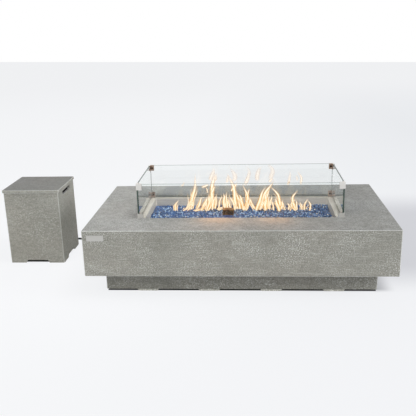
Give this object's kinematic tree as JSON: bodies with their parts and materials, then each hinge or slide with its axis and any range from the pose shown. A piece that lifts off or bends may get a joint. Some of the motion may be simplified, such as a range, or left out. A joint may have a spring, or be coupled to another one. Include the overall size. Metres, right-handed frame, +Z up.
{
  "type": "fire pit table",
  "caption": "Low cast concrete gas fire pit table with a glass wind guard, burner pan, blue fire glass, control panel, matching tank cover, gas cylinder and hose.",
  "frame": {"origin": "on the floor, in the middle of the box round the table and the tank cover, without the hose", "axes": "+X along the table, away from the tank cover; +Y to the back; +Z up"},
  "size_m": [2.4614, 1.0097, 0.6214],
  "materials": {
    "concrete": "matt, fine pitted, cast",
    "galvanised_steel": "zinc plated",
    "stainless_steel": "brushed",
    "tinted_steel": "heat tinted",
    "satin_clips": "satin",
    "clear_glass": "clear, green at its edges",
    "blue_glass": "tumbled",
    "black_rubber": "matt",
    "brass": "machined",
    "cast_aluminium": "die cast",
    "chrome": "polished",
    "black_plastic": "moulded",
    "ceramic": "fired",
    "battery_sleeve": "plain sleeve",
    "copper": "drawn",
    "painted_steel": "powder coated"
  },
  "bodies": {
    "root": {"table_shell": "concrete", "base_plinth": "concrete", "plinth_feet": "concrete", "shell_brackets": "galvanised_steel", "bracket_bolts": "galvanised_steel", "pan_locknut": "galvanised_steel", "burner_nipple": "galvanised_steel", "inlet_bracket": "galvanised_steel", "plate_screws": "galvanised_steel", "igniter_spring": "galvanised_steel", "pan_rim": "stainless_steel", "burner_pan": "stainless_steel", "burner_ring": "stainless_steel", "control_plate": "stainless_steel", "name_plate": "stainless_steel", "pilot_shield": "tinted_steel", "thermocouple": "tinted_steel", "fire_glass_bed": "blue_glass", "fire_glass_chips": "blue_glass", "gas_hose": "black_rubber", "ignition_wire": "black_rubber", "cylinder_valve": "brass", "flare_nuts": "brass", "inlet_union": "brass", "air_mixer": "brass", "hose_ferrules": "brass", "hose_swivel_nut": "brass", "valve_body": "cast_aluminium", "regulator": "cast_aluminium", "valve_nut": "chrome", "igniter_module": "black_plastic", "igniter_nut": "black_plastic", "regulator_nut": "black_plastic", "regulator_cap": "black_plastic", "wire_clips": "black_plastic", "igniter_electrode": "ceramic", "igniter_battery": "battery_sleeve", "supply_tube": "copper", "inlet_tube": "copper", "thermocouple_lead": "copper", "cylinder_shell": "painted_steel", "cylinder_foot_ring": "painted_steel", "cylinder_collar": "painted_steel"},
    "wind_guard": {"guard_glass_front": "clear_glass", "guard_glass_back": "clear_glass", "guard_glass_left": "clear_glass", "guard_glass_right": "clear_glass", "guard_clips_top": "satin_clips", "guard_clips_bottom": "satin_clips", "guard_screws": "satin_clips", "guard_feet": "black_rubber"},
    "tank_cover": {"tank_box": "concrete"},
    "tank_cover_lid": {"tank_lid": "concrete"},
    "stem_collar": {"stem_collar": "black_plastic"},
    "control_knob": {"valve_stem": "chrome", "control_knob": "black_plastic"},
    "igniter_button": {"igniter_button": "chrome"},
    "cylinder_handwheel": {"valve_handwheel": "black_plastic"}
  },
  "joints": [
    {"name": "wind_guard_lift", "type": "slide", "parent": "root", "child": "wind_guard", "axis": [0, 0, 1], "range_m": [0, 0.3]},
    {"name": "cover_lift", "type": "slide", "parent": "root", "child": "tank_cover", "axis": [0, 0, 1], "range_m": [0, 0.5]},
    {"name": "lid_lift", "type": "slide", "parent": "tank_cover", "child": "tank_cover_lid", "axis": [0, 0, 1], "range_m": [0, 0.25]},
    {"name": "knob_push", "type": "slide", "parent": "root", "child": "stem_collar", "axis": [1, 0, 0], "range_m": [0, 0.003], "stiffness_N_per_m": 1200, "springref_m": -0.003},
    {"name": "knob_turn", "type": "hinge", "parent": "stem_collar", "child": "control_knob", "pos_m": [-0.56925, -0.042, 0.262], "axis": [-1, 0, 0], "range_deg": [0, 190]},
    {"name": "igniter_push", "type": "slide", "parent": "root", "child": "igniter_button", "axis": [1, 0, 0], "range_m": [0, 0.004], "stiffness_N_per_m": 800, "springref_m": -0.003, "deforming": ["igniter_spring"]},
    {"name": "handwheel_turn", "type": "hinge", "parent": "root", "child": "cylinder_handwheel", "pos_m": [-1.04225, 0.225, 0.42], "axis": [0, 0, 1], "range_deg": [0, 900]}
  ]
}
